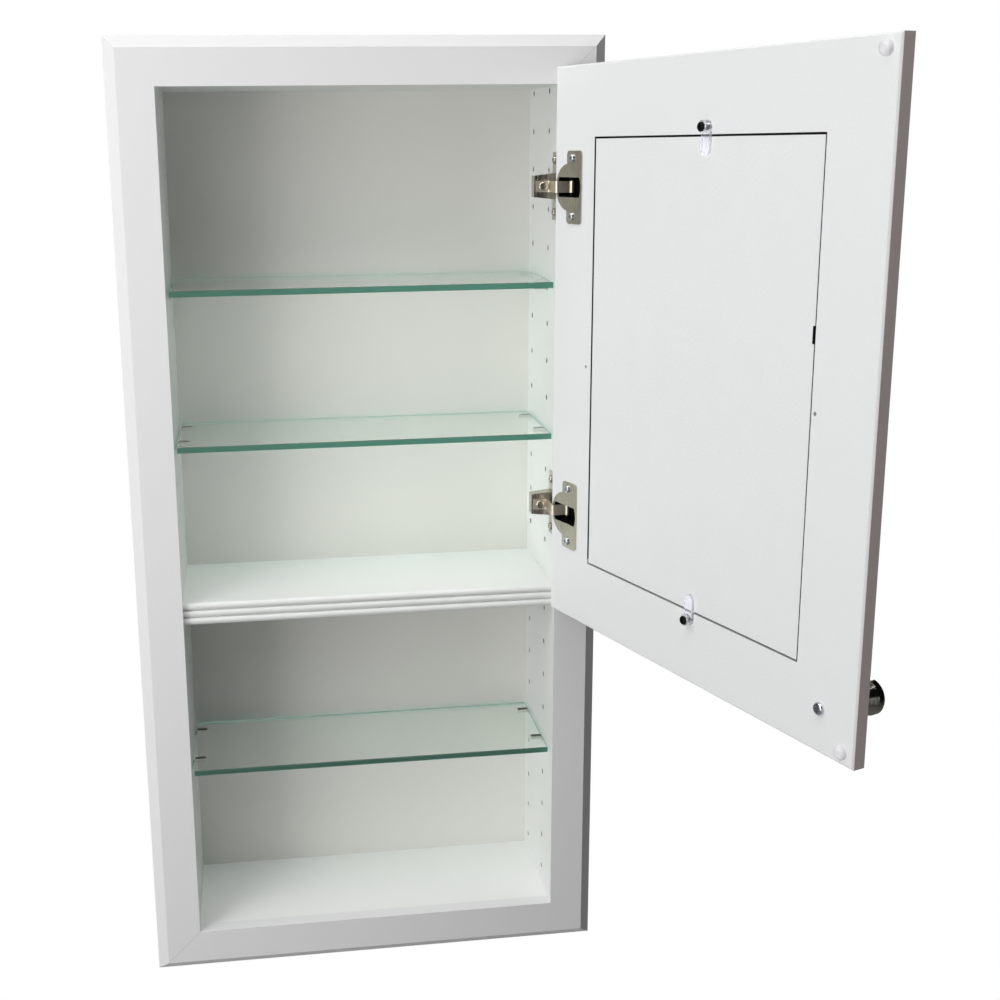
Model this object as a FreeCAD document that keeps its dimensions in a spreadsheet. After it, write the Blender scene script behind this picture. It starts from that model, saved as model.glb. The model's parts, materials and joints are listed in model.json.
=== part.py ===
"""Recessed wall medicine cabinet: carcass, mitred face frame, glass shelves on pins, hinged mirror door.

Millimetres, +Z up. X = 0 is the middle of the opening, Y = 0 is the wall plane (the rear of the frame
flange, +Y going into the wall) and Z = 0 is the underside of the carcass. The door is drawn about its own
hinge axis, closed, and then turned open by door_angle.
"""
import FreeCAD, Part
import os
import Sketcher

V = FreeCAD.Vector
TOLERANCE = 1e-6
FAR = 1e6
REEDS = 3
doc = FreeCAD.newDocument("medicine_cabinet")

# Driving dimensions, by the piece that they belong to
SIZES = {
    "Carcass": {
        "opening_width": 317.5,
        "opening_height": 723.9,
        "board_thickness": 19.05,
        "recess_depth": 101.6,
        "back_thickness": 6.35,
        "back_rebate": 9.525,
        "housing_depth": 6.35,
        "tongue_relief": 0.5,
    },
    "Face frame": {
        "frame_width": 38.1,
        "frame_thickness": 19.05,
        "frame_rebate": 6.35,
        "frame_bevel": 9.4,
    },
    "Fixed shelf": {
        "fixed_shelf_height": 304.8,
        "fixed_shelf_thickness": 19.05,
        "fixed_shelf_setback": 4.8,
        "reed_depth": 2.4,
    },
    "Shelf pin holes": {
        "pin_hole_radius": 2.5,
        "pin_hole_depth": 11.0,
        "pin_pitch": 32.0,
        "pin_top_inset": 3.7,
        "pin_front_setback": 39.0,
        "pin_rear_inset": 15.3,
        "pin_shelf_margin": 4.0,
    },
    "Shelf pins": {
        "pin_clearance": 0.1,
        "pin_collar_radius": 3.6,
        "pin_collar_thickness": 1.2,
        "pin_reach": 11.0,
        "pin_seat_height": 1.2,
        "pin_end_gap": 1.0,
    },
    "Glass shelves": {
        "glass_thickness": 5.0,
        "glass_side_gap": 2.0,
        "glass_setback": 9.3,
        "glass_rear_gap": 3.4,
        "glass_arris": 0.6,
        "upper_glass_drop": 160.0,
        "middle_glass_drop": 288.0,
        "lower_glass_height": 144.2,
    },
    "Door": {
        "side_overlay": 17.5,
        "top_overlay": 12.7,
        "bottom_overlay": 15.9,
        "door_thickness": 19.05,
        "door_bevel": 9.2,
        "door_arris": 1.2,
        "door_gap": 4.4,
        "door_angle": 109.7,
        "window_margin": 54.0,
        "window_lip": 9.5,
        "lip_thickness": 6.35,
        "sight_bevel": 3.0,
    },
    "Mirror and backing panel": {
        "glazing_gap": 1.2,
        "mirror_thickness": 3.175,
        "panel_thickness": 9.2,
        "panel_arris": 0.6,
        "notch_drop": 121.8,
        "notch_height": 11.5,
        "notch_depth": 2.0,
    },
    "Turn clips": {
        "clip_margin": 5.0,
        "clip_offset": 11.0,
        "clip_boss_radius": 4.4,
        "clip_height": 5.2,
        "clip_tongue_width": 8.8,
        "clip_tongue_reach": 19.0,
        "clip_tongue_thickness": 2.2,
        "clip_tip_height": 3.6,
        "clip_eye_play": 0.08,
        "clip_play": 0.15,
        "spare_pilot_radius": 1.4,
        "spare_pilot_depth": 8.0,
        "spare_hinge_margin": 6.5,
        "spare_hinge_drop": 8.0,
        "spare_free_margin": 3.2,
        "spare_free_drop": 2.4,
    },
    "Knob and bumpers": {
        "knob_setback": 31.5,
        "knob_height": 30.5,
        "knob_radius": 12.7,
        "knob_neck_radius": 6.5,
        "knob_base_radius": 9.0,
        "knob_base_thickness": 2.0,
        "knob_neck_length": 19.0,
        "knob_rim": 4.0,
        "knob_projection": 31.8,
        "knob_screw_radius": 2.0,
        "knob_screw_engagement": 9.0,
        "knob_screw_head_radius": 4.4,
        "knob_screw_head_height": 2.6,
        "bumper_radius": 4.75,
        "bumper_height": 4.1,
        "bumper_dome_share": 0.7,
        "bumper_side_inset": 10.5,
        "bumper_end_inset": 8.5,
    },
    "Hinge places": {
        "hinge_top_inset": 92.5,
        "hinge_bottom_inset": 88.5,
        "pivot_setback": 10.42,
        "pivot_depth": 9.0,
    },
    "Hinge cup": {
        "cup_setback": 21.0,
        "cup_radius": 17.3,
        "cup_bore_clearance": 0.2,
        "cup_wall": 1.2,
        "cup_floor": 0.8,
        "cup_floor_play": 0.35,
        "mouth_width": 15.5,
        "flange_thickness": 1.0,
        "flange_radius": 18.4,
        "flange_edge": 38.3,
        "tab_setback": 18.0,
        "tab_height": 56.4,
        "tab_corner": 3.0,
        "cup_screw_setback": 25.0,
        "cup_screw_spread": 45.0,
    },
    "Hinge pin and arm": {
        "hinge_pin_radius": 1.2,
        "hinge_pin_play": 0.05,
        "knuckle_wall": 0.9,
        "arm_width": 9.0,
        "arm_thickness": 1.5,
        "arm_reach": 13.3,
        "arm_foot": 10.5,
        "arm_bend": 1.0,
        "bush_play": 0.15,
    },
    "Hinge base": {
        "base_height": 54.0,
        "base_thickness": 1.5,
        "base_setback": 2.5,
        "base_depth": 15.5,
        "bridge_setback": 8.0,
        "bridge_reach": 19.0,
        "bridge_root_height": 21.0,
        "bridge_tip_height": 17.0,
        "bridge_wall": 1.5,
        "base_screw_spread": 42.0,
        "adjust_screw_reach": 12.0,
        "adjust_screw_radius": 1.9,
        "adjust_head_radius": 3.9,
        "adjust_head_height": 2.4,
        "adjust_screw_tail": 6.0,
    },
    "Wood screws": {
        "screw_radius": 1.6,
        "screw_clearance": 0.1,
        "screw_length": 13.0,
        "screw_head_radius": 3.3,
        "screw_head_height": 1.8,
        "screw_crown_share": 0.6,
        "drive_reach_share": 0.55,
        "drive_width_share": 0.14,
        "drive_depth_share": 0.6,
        "pilot_relief": 1.0,
    },
}

dims = doc.addObject("Spreadsheet::Sheet", "dims")
row = 1
for group, cells in SIZES.items():
    dims.set(f"A{row}", group)
    row += 1
    for alias, value in cells.items():
        dims.set(f"A{row}", alias.replace("_", " "))
        dims.set(f"B{row}", str(value))
        dims.setAlias(f"B{row}", alias)
        row += 1
doc.recompute()

# Places that several pieces share, as expressions on the sheet
HALF_OPENING = "dims.opening_width / 2"
FLOOR = "dims.board_thickness"
CEILING = f"({FLOOR} + dims.opening_height)"
CARCASS_TOP = f"({CEILING} + dims.board_thickness)"
FRAME_FRONT = "(-dims.frame_thickness)"
CARCASS_FRONT = "(-dims.frame_rebate)"
BACK_FACE = "(dims.recess_depth - dims.back_thickness)"
SHELF_TOP = f"({FLOOR} + dims.fixed_shelf_height)"
SHELF_UNDERSIDE = f"({SHELF_TOP} - dims.fixed_shelf_thickness)"
PIN_TOP = f"({CEILING} - dims.pin_top_inset)"
PIN_FRONT = f"({FRAME_FRONT} + dims.pin_front_setback)"
PIN_REAR = f"({BACK_FACE} - dims.pin_rear_inset)"
GLASS_ROWS = {
    "upper": "round(dims.upper_glass_drop / dims.pin_pitch)",
    "middle": "round(dims.middle_glass_drop / dims.pin_pitch)",
    "lower": f"round(({PIN_TOP} - {FLOOR} - dims.lower_glass_height) / dims.pin_pitch)",
}

# The door in its own frame: the hinge axis at x = 0, y = 0, +x to the hinge edge, +y to the cabinet
PIVOT_X = f"({HALF_OPENING} + dims.side_overlay - dims.pivot_setback)"
DOOR_BACK = "dims.pivot_depth"
PIVOT_Y = f"({FRAME_FRONT} - dims.door_gap - dims.pivot_depth)"
DOOR_FRONT = f"({DOOR_BACK} - dims.door_thickness)"
DOOR_WIDTH = "(dims.opening_width + 2 * dims.side_overlay)"
HINGE_EDGE = "dims.pivot_setback"
FREE_EDGE = f"({HINGE_EDGE} - {DOOR_WIDTH})"
DOOR_MIDDLE = f"({HINGE_EDGE} - {DOOR_WIDTH} / 2)"
DOOR_TOP = f"({CEILING} + dims.top_overlay)"
DOOR_BOTTOM = f"({SHELF_TOP} - dims.bottom_overlay)"
WINDOW_RIGHT = f"({HINGE_EDGE} - dims.window_margin)"
WINDOW_LEFT = f"({FREE_EDGE} + dims.window_margin)"
WINDOW_TOP = f"({DOOR_TOP} - dims.window_margin)"
WINDOW_BOTTOM = f"({DOOR_BOTTOM} + dims.window_margin)"
LIP_BACK = f"({DOOR_FRONT} + dims.lip_thickness)"
MIRROR_BACK = f"({LIP_BACK} + dims.mirror_thickness)"
CLIP_X = f"({DOOR_MIDDLE} - dims.clip_offset)"
CLIP_UPPER = f"({WINDOW_TOP} + dims.clip_margin)"
CLIP_LOWER = f"({WINDOW_BOTTOM} - dims.clip_margin)"
KNOB_X = f"({FREE_EDGE} + dims.knob_setback)"
KNOB_Z = f"({DOOR_BOTTOM} + dims.knob_height)"
HINGE_UPPER = f"({DOOR_TOP} - dims.hinge_top_inset)"
HINGE_LOWER = f"({DOOR_BOTTOM} + dims.hinge_bottom_inset)"
CUP_X = f"({HINGE_EDGE} - dims.cup_setback)"
KNUCKLE_RADIUS = "(dims.hinge_pin_radius + dims.hinge_pin_play + dims.knuckle_wall)"
CUP_INSIDE = f"(dims.pivot_depth + {KNUCKLE_RADIUS} + dims.cup_floor_play)"
CUP_DEPTH = f"({CUP_INSIDE} + dims.cup_floor)"
PILOT_RADIUS = "(dims.screw_radius + dims.screw_clearance)"
PILOT_DEPTH = "(dims.screw_length + dims.pilot_relief)"
HINGES = {"upper": HINGE_UPPER, "lower": HINGE_LOWER}


def number(expression):
    """The present value of an expression on the sheet."""
    return float(dims.evalExpression(expression))


def new_body(label):
    """An empty body whose label names its file."""
    body = doc.addObject("PartDesign::Body", label)
    body.Label = label
    return body


def new_sketch(body, role, offset="0"):
    """A sketch on one of the body's own origin planes, moved along the axis that crosses that plane."""
    plane = next(feature for feature in body.Origin.OriginFeatures if feature.Role == role)
    sketch = body.newObject("Sketcher::SketchObject", f"{body.Name}_sketch")
    sketch.AttachmentSupport = [(plane, "")]
    sketch.MapMode = "FlatFace"
    towards = f"-({offset})" if role == "XZ_Plane" else offset
    sketch.setExpression(".AttachmentOffset.Base.z", towards)
    return sketch


def fix(sketch, geometry, place, x, y):
    """Ties one point of a sketch to two expressions."""
    for kind, expression in (("DistanceX", x), ("DistanceY", y)):
        value = number(expression)
        index = sketch.addConstraint(Sketcher.Constraint(kind, -1, 1, geometry, place, value))
        sketch.setExpression(f"Constraints[{index}]", expression)


def arc_through(start, end, radius, turn):
    """The shorter arc from start to end; turn is 1 when it runs counter-clockwise and -1 when clockwise."""
    chord = end - start
    height = max(radius ** 2 - (chord.Length / 2) ** 2, 0.0) ** 0.5
    left = V(-chord.y, chord.x, 0).normalize()
    centre = (start + end) / 2 + left * height * turn
    first, last = (start, end) if turn > 0 else (end, start)
    across = V(1, 0, 0)
    angles = [(point - centre).getAngle(across) for point in (first, last)]
    angles = [-angle if point.y < centre.y else angle for angle, point in zip(angles, (first, last))]
    return Part.ArcOfCircle(Part.Circle(centre, V(0, 0, 1), radius), angles[0], angles[1])


def outline(sketch, corners):
    """A closed outline: a corner (x, y) starts a straight side, and (x, y, radius, turn) starts an arc."""
    points = [V(number(corner[0]), number(corner[1]), 0) for corner in corners]
    first = sketch.GeometryCount
    ends = []
    for index, corner in enumerate(corners):
        start = points[index]
        end = points[(index + 1) % len(points)]
        if len(corner) == 2:
            geometry = sketch.addGeometry(Part.LineSegment(start, end))
            ends.append((1, 2))
            continue
        radius, turn = corner[2:]
        geometry = sketch.addGeometry(arc_through(start, end, number(radius), turn))
        ends.append((1, 2) if turn > 0 else (2, 1))
        constraint = sketch.addConstraint(Sketcher.Constraint("Radius", geometry, number(radius)))
        sketch.setExpression(f"Constraints[{constraint}]", radius)
    for index, corner in enumerate(corners):
        following = (index + 1) % len(corners)
        sketch.addConstraint(Sketcher.Constraint(
            "Coincident", first + index, ends[index][1], first + following, ends[following][0]))
        fix(sketch, first + index, ends[index][0], corner[0], corner[1])


def rectangle(sketch, left, right, bottom, top):
    """A rectangle between four expressions."""
    outline(sketch, [(left, bottom), (right, bottom), (right, top), (left, top)])


def circle(sketch, x, y, radius):
    """A circle with its centre and radius tied to expressions."""
    place = V(number(x), number(y), 0)
    geometry = sketch.addGeometry(Part.Circle(place, V(0, 0, 1), number(radius)))
    fix(sketch, geometry, 3, x, y)
    constraint = sketch.addConstraint(Sketcher.Constraint("Radius", geometry, number(radius)))
    sketch.setExpression(f"Constraints[{constraint}]", radius)


def extrude(body, kind, sketch, length, backwards=False):
    """A Pad or Pocket of a sketch."""
    feature = body.newObject(f"PartDesign::{kind}", f"{body.Name}_{kind.lower()}")
    feature.Profile = sketch
    feature.Reversed = backwards
    feature.setExpression("Length", length)
    body.Tip = feature
    return feature


def pad(body, sketch, length, backwards=False):
    """Adds a sketch's area along its normal."""
    return extrude(body, "Pad", sketch, length, backwards)


def pocket(body, sketch, length, backwards=False):
    """Cuts a sketch's area against its normal, and makes sure that something was cut."""
    doc.recompute()
    before = body.Shape.Volume
    feature = extrude(body, "Pocket", sketch, length, backwards)
    doc.recompute()
    if body.Shape.Volume > before - TOLERANCE:
        raise RuntimeError(f"{feature.Name} cuts nothing from {body.Label}")
    return feature


def revolve(body, sketch, axis):
    """A full turn of a sketch about one of its own axes."""
    feature = body.newObject("PartDesign::Revolution", f"{body.Name}_revolution")
    feature.Profile = sketch
    feature.ReferenceAxis = (sketch, [axis])
    feature.Angle = 360
    body.Tip = feature
    return feature


def place(piece, x="0", y="0", z="0"):
    """Moves a finished piece."""
    for axis, expression in (("x", x), ("y", y), ("z", z)):
        piece.setExpression(f".Placement.Base.{axis}", expression)


def hang(piece, z="0"):
    """Puts a piece that is drawn about the hinge axis on the open door."""
    place(piece, PIVOT_X, PIVOT_Y, z)
    piece.Placement = FreeCAD.Placement(V(), FreeCAD.Rotation(V(0, 0, 1), number("dims.door_angle")))
    piece.setExpression(".Placement.Rotation.Angle", "dims.door_angle")


def group(label, pattern, places):
    """One node of identical solids: the pattern piece is linked to each place."""
    links = []
    for x, y, z, turn in places:
        link = doc.addObject("App::Link", f"{label}_copy")
        link.LinkedObject = pattern
        link.Placement = FreeCAD.Placement(V(), FreeCAD.Rotation(V(0, 0, 1), turn))
        place(link, x, y, z)
        links.append(link)
    compound = doc.addObject("Part::Compound", label)
    compound.Label = label
    compound.Links = links
    return compound


nodes = []


def finish(*pieces):
    """Lists finished sub-parts for export."""
    nodes.extend(pieces)


# Carcass boards
def side_panel(label, side):
    """A side board, housed for the boards that meet it and line-bored for pins; side is 1 on the right."""
    body = new_body(label)
    inner = f"({side} * {HALF_OPENING})"
    right = side > 0

    board = new_sketch(body, "YZ_Plane", inner)
    rectangle(board, CARCASS_FRONT, "dims.recess_depth", "0", CARCASS_TOP)
    pad(body, board, "dims.board_thickness", backwards=not right)
    relief = new_sketch(body, "YZ_Plane", f"{side} * ({HALF_OPENING} + dims.board_thickness)")
    rectangle(relief, CARCASS_FRONT, "0", "0", CARCASS_TOP)
    pocket(body, relief, "dims.tongue_relief", backwards=not right)

    housings = new_sketch(body, "YZ_Plane", inner)
    for low, high in (("0", FLOOR), (SHELF_UNDERSIDE, SHELF_TOP), (CEILING, CARCASS_TOP)):
        rectangle(housings, CARCASS_FRONT, "dims.recess_depth", low, high)
    pocket(body, housings, "dims.housing_depth", backwards=right)

    rebate = new_sketch(body, "YZ_Plane", inner)
    rectangle(rebate, BACK_FACE, "dims.recess_depth",
              f"{FLOOR} - dims.back_rebate", f"{CEILING} + dims.back_rebate")
    pocket(body, rebate, "dims.back_rebate", backwards=right)

    above = f"floor(({PIN_TOP} - {SHELF_TOP} - dims.pin_shelf_margin) / dims.pin_pitch)"
    below = f"ceil(({PIN_TOP} - {SHELF_UNDERSIDE} + dims.pin_shelf_margin) / dims.pin_pitch)"
    last = f"floor(({PIN_TOP} - {FLOOR} - dims.pin_shelf_margin) / dims.pin_pitch)"
    for first_row, last_row in (("0", above), (below, last)):
        start = f"({PIN_TOP} - {first_row} * dims.pin_pitch)"
        rows = f"({last_row} - {first_row})"
        bores = new_sketch(body, "YZ_Plane", inner)
        circle(bores, PIN_FRONT, start, "dims.pin_hole_radius")
        circle(bores, PIN_REAR, start, "dims.pin_hole_radius")
        bore = pocket(body, bores, "dims.pin_hole_depth", backwards=right)
        column = body.newObject("PartDesign::LinearPattern", f"{label}_column")
        column.Originals = [bore]
        column.Direction = (bores, ["V_Axis"])
        column.Reversed = True
        column.setExpression("Length", f"{rows} * dims.pin_pitch")
        column.setExpression("Occurrences", f"{rows} + 1")
        body.Tip = column
    finish(body)


def end_board(label, underside, inner_face, outer_face, upwards):
    """The top or bottom board, tongued into the sides and rebated on its inner face for the back panel."""
    body = new_body(label)
    reach = f"({HALF_OPENING} + dims.housing_depth)"
    board = new_sketch(body, "XY_Plane", underside)
    rectangle(board, f"-{reach}", reach, CARCASS_FRONT, "dims.recess_depth")
    pad(body, board, "dims.board_thickness")
    relief = new_sketch(body, "XY_Plane", outer_face)
    rectangle(relief, f"-{reach}", reach, CARCASS_FRONT, "0")
    pocket(body, relief, "dims.tongue_relief", backwards=not upwards)
    rebate = new_sketch(body, "XY_Plane", inner_face)
    rectangle(rebate, f"-{reach}", reach, BACK_FACE, "dims.recess_depth")
    pocket(body, rebate, "dims.back_rebate", backwards=upwards)
    finish(body)


def fixed_shelf():
    """The shelf between cupboard and niche: tongued ends and a reeded front edge."""
    body = new_body("fixed_shelf")
    tongue = f"({HALF_OPENING} + dims.housing_depth)"
    root = f"({FRAME_FRONT} + dims.fixed_shelf_setback + dims.reed_depth)"
    board = new_sketch(body, "XY_Plane", SHELF_UNDERSIDE)
    outline(board, [
        (f"-{HALF_OPENING}", root),
        (HALF_OPENING, root),
        (HALF_OPENING, CARCASS_FRONT),
        (tongue, CARCASS_FRONT),
        (tongue, BACK_FACE),
        (f"-{tongue}", BACK_FACE),
        (f"-{tongue}", CARCASS_FRONT),
        (f"-{HALF_OPENING}", CARCASS_FRONT),
    ])
    pad(body, board, "dims.fixed_shelf_thickness")
    reed = f"(dims.fixed_shelf_thickness / {REEDS})"
    curve = f"(({reed} / 2) ^ 2 + dims.reed_depth ^ 2) / (2 * dims.reed_depth)"
    reeds = new_sketch(body, "YZ_Plane", f"-{HALF_OPENING}")
    outline(reeds, [
        *((root, f"{SHELF_TOP} - {index} * {reed}", curve, 1) for index in range(REEDS)),
        (root, SHELF_UNDERSIDE),
        (f"{root} + dims.reed_depth", SHELF_UNDERSIDE),
        (f"{root} + dims.reed_depth", SHELF_TOP),
    ])
    pad(body, reeds, "dims.opening_width")
    finish(body)


def back_panel():
    """The thin back, let into the rebates of the four boards."""
    body = new_body("back_panel")
    panel = new_sketch(body, "XZ_Plane", BACK_FACE)
    reach = f"({HALF_OPENING} + dims.back_rebate)"
    rectangle(panel, f"-{reach}", reach, f"{FLOOR} - dims.back_rebate", f"{CEILING} + dims.back_rebate")
    pad(body, panel, "dims.back_thickness", backwards=True)
    finish(body)


# Face frame
def frame_member(label, length, turn, x, z):
    """One mitred moulding, drawn along X with its inner edge at z = 0 and turned to its place."""
    body = new_body(label)
    half = f"({length} / 2 + dims.frame_width)"
    profile = new_sketch(body, "YZ_Plane", f"-{half}")
    outline(profile, [
        (FRAME_FRONT, "0"),
        (CARCASS_FRONT, "0"),
        (CARCASS_FRONT, "dims.board_thickness"),
        ("0", "dims.board_thickness"),
        ("0", "dims.frame_width"),
        (f"{FRAME_FRONT} + dims.frame_bevel", "dims.frame_width"),
        (FRAME_FRONT, "dims.frame_width - dims.frame_bevel"),
    ])
    pad(body, profile, f"2 * {half}")
    mitres = new_sketch(body, "XZ_Plane", FRAME_FRONT)
    for end in ("-1", "1"):
        outline(mitres, [
            (f"{end} * {length} / 2", "0"),
            (f"{end} * {half}", "dims.frame_width"),
            (f"{end} * {half}", "0"),
        ])
    pocket(body, mitres, "dims.frame_thickness")
    body.Placement = FreeCAD.Placement(V(), FreeCAD.Rotation(V(0, 1, 0), turn))
    place(body, x=x, z=z)
    finish(body)
    return body


# Glass shelves and their pins
def shelf_pin():
    """The pattern of a shelf pin along +X: shank, collar and a support with a flat seat."""
    body = new_body("shelf_pin_pattern")
    shank = new_sketch(body, "YZ_Plane")
    circle(shank, "0", "0", "dims.pin_hole_radius - dims.pin_clearance")
    pad(body, shank, "dims.pin_hole_depth - dims.pin_end_gap", backwards=True)
    collar = new_sketch(body, "YZ_Plane")
    seat = "dims.pin_seat_height"
    rim = f"sqrt(dims.pin_collar_radius ^ 2 - {seat} ^ 2)"
    outline(collar, [
        (f"-{rim}", seat),
        (f"-{rim}", "-dims.pin_seat_height", "dims.pin_collar_radius", 1),
        (rim, "-dims.pin_seat_height"),
        (rim, seat),
    ])
    pad(body, collar, "dims.pin_collar_thickness")
    support = new_sketch(body, "YZ_Plane")
    flat = f"sqrt(dims.pin_hole_radius ^ 2 - {seat} ^ 2)"
    outline(support, [
        (f"-{flat}", seat),
        (f"-{flat}", "-dims.pin_seat_height", "dims.pin_hole_radius", 1),
        (flat, "-dims.pin_seat_height"),
        (flat, seat),
    ])
    pad(body, support, "dims.pin_reach")
    return body


def glass_shelf(level, pin):
    """A loose glass shelf and the four pins under it."""
    axis = f"({PIN_TOP} - {GLASS_ROWS[level]} * dims.pin_pitch)"
    underside = f"({axis} + dims.pin_seat_height)"
    reach = f"({HALF_OPENING} - dims.glass_side_gap)"
    front = f"({FRAME_FRONT} + dims.glass_setback)"
    rear = f"({BACK_FACE} - dims.glass_rear_gap)"
    top = f"({underside} + dims.glass_thickness)"
    body = new_body(f"glass_shelf_{level}")
    profile = new_sketch(body, "YZ_Plane", f"-{reach}")
    outline(profile, [
        (f"{front} + dims.glass_arris", underside),
        (f"{rear} - dims.glass_arris", underside),
        (rear, f"{underside} + dims.glass_arris"),
        (rear, f"{top} - dims.glass_arris"),
        (f"{rear} - dims.glass_arris", top),
        (f"{front} + dims.glass_arris", top),
        (front, f"{top} - dims.glass_arris"),
        (front, f"{underside} + dims.glass_arris"),
    ])
    pad(body, profile, f"2 * {reach}")
    places = [(f"{side} * {HALF_OPENING}", depth, axis, turn)
              for side, turn in (("-1", 0), ("1", 180)) for depth in (PIN_FRONT, PIN_REAR)]
    finish(body, group(f"shelf_pins_{level}", pin, places))


# Screws
def pan_screw(label, shank, length, head_radius, head_height):
    """The pattern of a pan-head screw: bearing face at y = 0, shank along +Y, cross drive in the head."""
    body = new_body(label)
    stem = new_sketch(body, "XZ_Plane")
    circle(stem, "0", "0", shank)
    pad(body, stem, length, backwards=True)
    head = new_sketch(body, "XZ_Plane")
    circle(head, "0", "0", head_radius)
    cap = pad(body, head, head_height)
    doc.recompute()
    crown = body.newObject("PartDesign::Fillet", f"{label}_crown")
    rim = [f"Edge{index + 1}" for index, edge in enumerate(body.Shape.Edges)
           if len(edge.Vertexes) == 1 and abs(edge.Curve.Radius - number(head_radius)) < TOLERANCE
           and abs(edge.CenterOfMass.Length - number(head_height)) < TOLERANCE]
    crown.Base = (cap, rim)
    crown.setExpression("Radius", f"dims.screw_crown_share * {head_height}")
    body.Tip = crown
    arm = f"dims.drive_reach_share * {head_radius}"
    side = f"dims.drive_width_share * {head_radius}"
    drive = new_sketch(body, "XZ_Plane", f"-{head_height}")
    outline(drive, [
        (f"-{side}", f"-{arm}"), (side, f"-{arm}"), (side, f"-{side}"), (arm, f"-{side}"),
        (arm, side), (side, side), (side, arm), (f"-{side}", arm),
        (f"-{side}", side), (f"-{arm}", side), (f"-{arm}", f"-{side}"), (f"-{side}", f"-{side}"),
    ])
    pocket(body, drive, f"dims.drive_depth_share * {head_height}")
    return body


# Door
def edge_chamfer(body, base, depth, size, left=-FAR, right=FAR):
    """Chamfers the edges of a board that lie at one depth and, across the board, between two limits."""
    doc.recompute()
    edges = [f"Edge{index + 1}" for index, edge in enumerate(body.Shape.Edges)
             if all(abs(vertex.Point.y - depth) < TOLERANCE for vertex in edge.Vertexes)
             and edge.BoundBox.XMin > left and edge.BoundBox.XMax < right]
    chamfer = body.newObject("PartDesign::Chamfer", f"{body.Name}_chamfer")
    chamfer.Base = (base, edges)
    chamfer.setExpression("Size", size)
    body.Tip = chamfer
    return chamfer


def door_slab():
    """The door board: bevelled front edge, rebated window, cup bores and pilot holes."""
    body = new_body("door_frame")
    slab = new_sketch(body, "XZ_Plane", DOOR_BACK)
    rectangle(slab, FREE_EDGE, HINGE_EDGE, DOOR_BOTTOM, DOOR_TOP)
    board = pad(body, slab, "dims.door_thickness")
    doc.recompute()
    front = number(DOOR_FRONT)
    bevel = edge_chamfer(body, board, front, "dims.door_bevel")
    edge_chamfer(body, bevel, number(DOOR_BACK), "dims.door_arris")

    window = new_sketch(body, "XZ_Plane", DOOR_BACK)
    rectangle(window, WINDOW_LEFT, WINDOW_RIGHT, WINDOW_BOTTOM, WINDOW_TOP)
    pocket(body, window, "dims.door_thickness - dims.lip_thickness", backwards=True)
    sight = new_sketch(body, "XZ_Plane", DOOR_BACK)
    rectangle(sight, f"{WINDOW_LEFT} + dims.window_lip", f"{WINDOW_RIGHT} - dims.window_lip",
              f"{WINDOW_BOTTOM} + dims.window_lip", f"{WINDOW_TOP} - dims.window_lip")
    opened = pocket(body, sight, "dims.door_thickness", backwards=True)
    edge_chamfer(body, opened, front, "dims.sight_bevel", number(WINDOW_LEFT), number(WINDOW_RIGHT))

    bores = new_sketch(body, "XZ_Plane", DOOR_BACK)
    for height in HINGES.values():
        circle(bores, CUP_X, height, "dims.cup_radius + dims.cup_bore_clearance")
    pocket(body, bores, f"{CUP_DEPTH} + dims.cup_bore_clearance", backwards=True)

    pilots = new_sketch(body, "XZ_Plane", DOOR_BACK)
    for height in HINGES.values():
        for side in ("-", "+"):
            circle(pilots, f"{HINGE_EDGE} - dims.cup_screw_setback",
                   f"{height} {side} dims.cup_screw_spread / 2", PILOT_RADIUS)
    for height in (CLIP_UPPER, CLIP_LOWER):
        circle(pilots, CLIP_X, height, PILOT_RADIUS)
    pocket(body, pilots, PILOT_DEPTH, backwards=True)

    spares = new_sketch(body, "XZ_Plane", DOOR_BACK)
    middle = f"({DOOR_BOTTOM} + {DOOR_TOP}) / 2"
    circle(spares, f"{WINDOW_RIGHT} + dims.spare_hinge_margin", f"{middle} - dims.spare_hinge_drop",
           "dims.spare_pilot_radius")
    circle(spares, f"{WINDOW_LEFT} - dims.spare_free_margin", f"{middle} - dims.spare_free_drop",
           "dims.spare_pilot_radius")
    pocket(body, spares, "dims.spare_pilot_depth", backwards=True)

    through = new_sketch(body, "XZ_Plane", DOOR_BACK)
    circle(through, KNOB_X, KNOB_Z, "dims.knob_screw_radius + dims.screw_clearance")
    pocket(body, through, "dims.door_thickness", backwards=True)
    hang(body)
    finish(body)


def glazing():
    """The mirror against the window lip, and the backing panel behind it with a notch to lift it out."""
    left = f"({WINDOW_LEFT} + dims.glazing_gap)"
    right = f"({WINDOW_RIGHT} - dims.glazing_gap)"
    bottom = f"({WINDOW_BOTTOM} + dims.glazing_gap)"
    top = f"({WINDOW_TOP} - dims.glazing_gap)"
    mirror = new_body("mirror")
    sheet = new_sketch(mirror, "XZ_Plane", LIP_BACK)
    rectangle(sheet, left, right, bottom, top)
    pad(mirror, sheet, "dims.mirror_thickness", backwards=True)
    panel = new_body("backing_panel")
    board = new_sketch(panel, "XZ_Plane", MIRROR_BACK)
    rectangle(board, left, right, bottom, top)
    slab = pad(panel, board, "dims.panel_thickness", backwards=True)
    doc.recompute()
    edge_chamfer(panel, slab, number(f"{MIRROR_BACK} + dims.panel_thickness"), "dims.panel_arris")
    notch = new_sketch(panel, "XZ_Plane", MIRROR_BACK)
    middle = f"{top} - dims.notch_drop"
    rectangle(notch, left, f"{left} + dims.notch_depth",
              f"{middle} - dims.notch_height / 2", f"{middle} + dims.notch_height / 2")
    pocket(panel, notch, "dims.panel_thickness")
    for piece in (mirror, panel):
        hang(piece)
    finish(mirror, panel)


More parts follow.
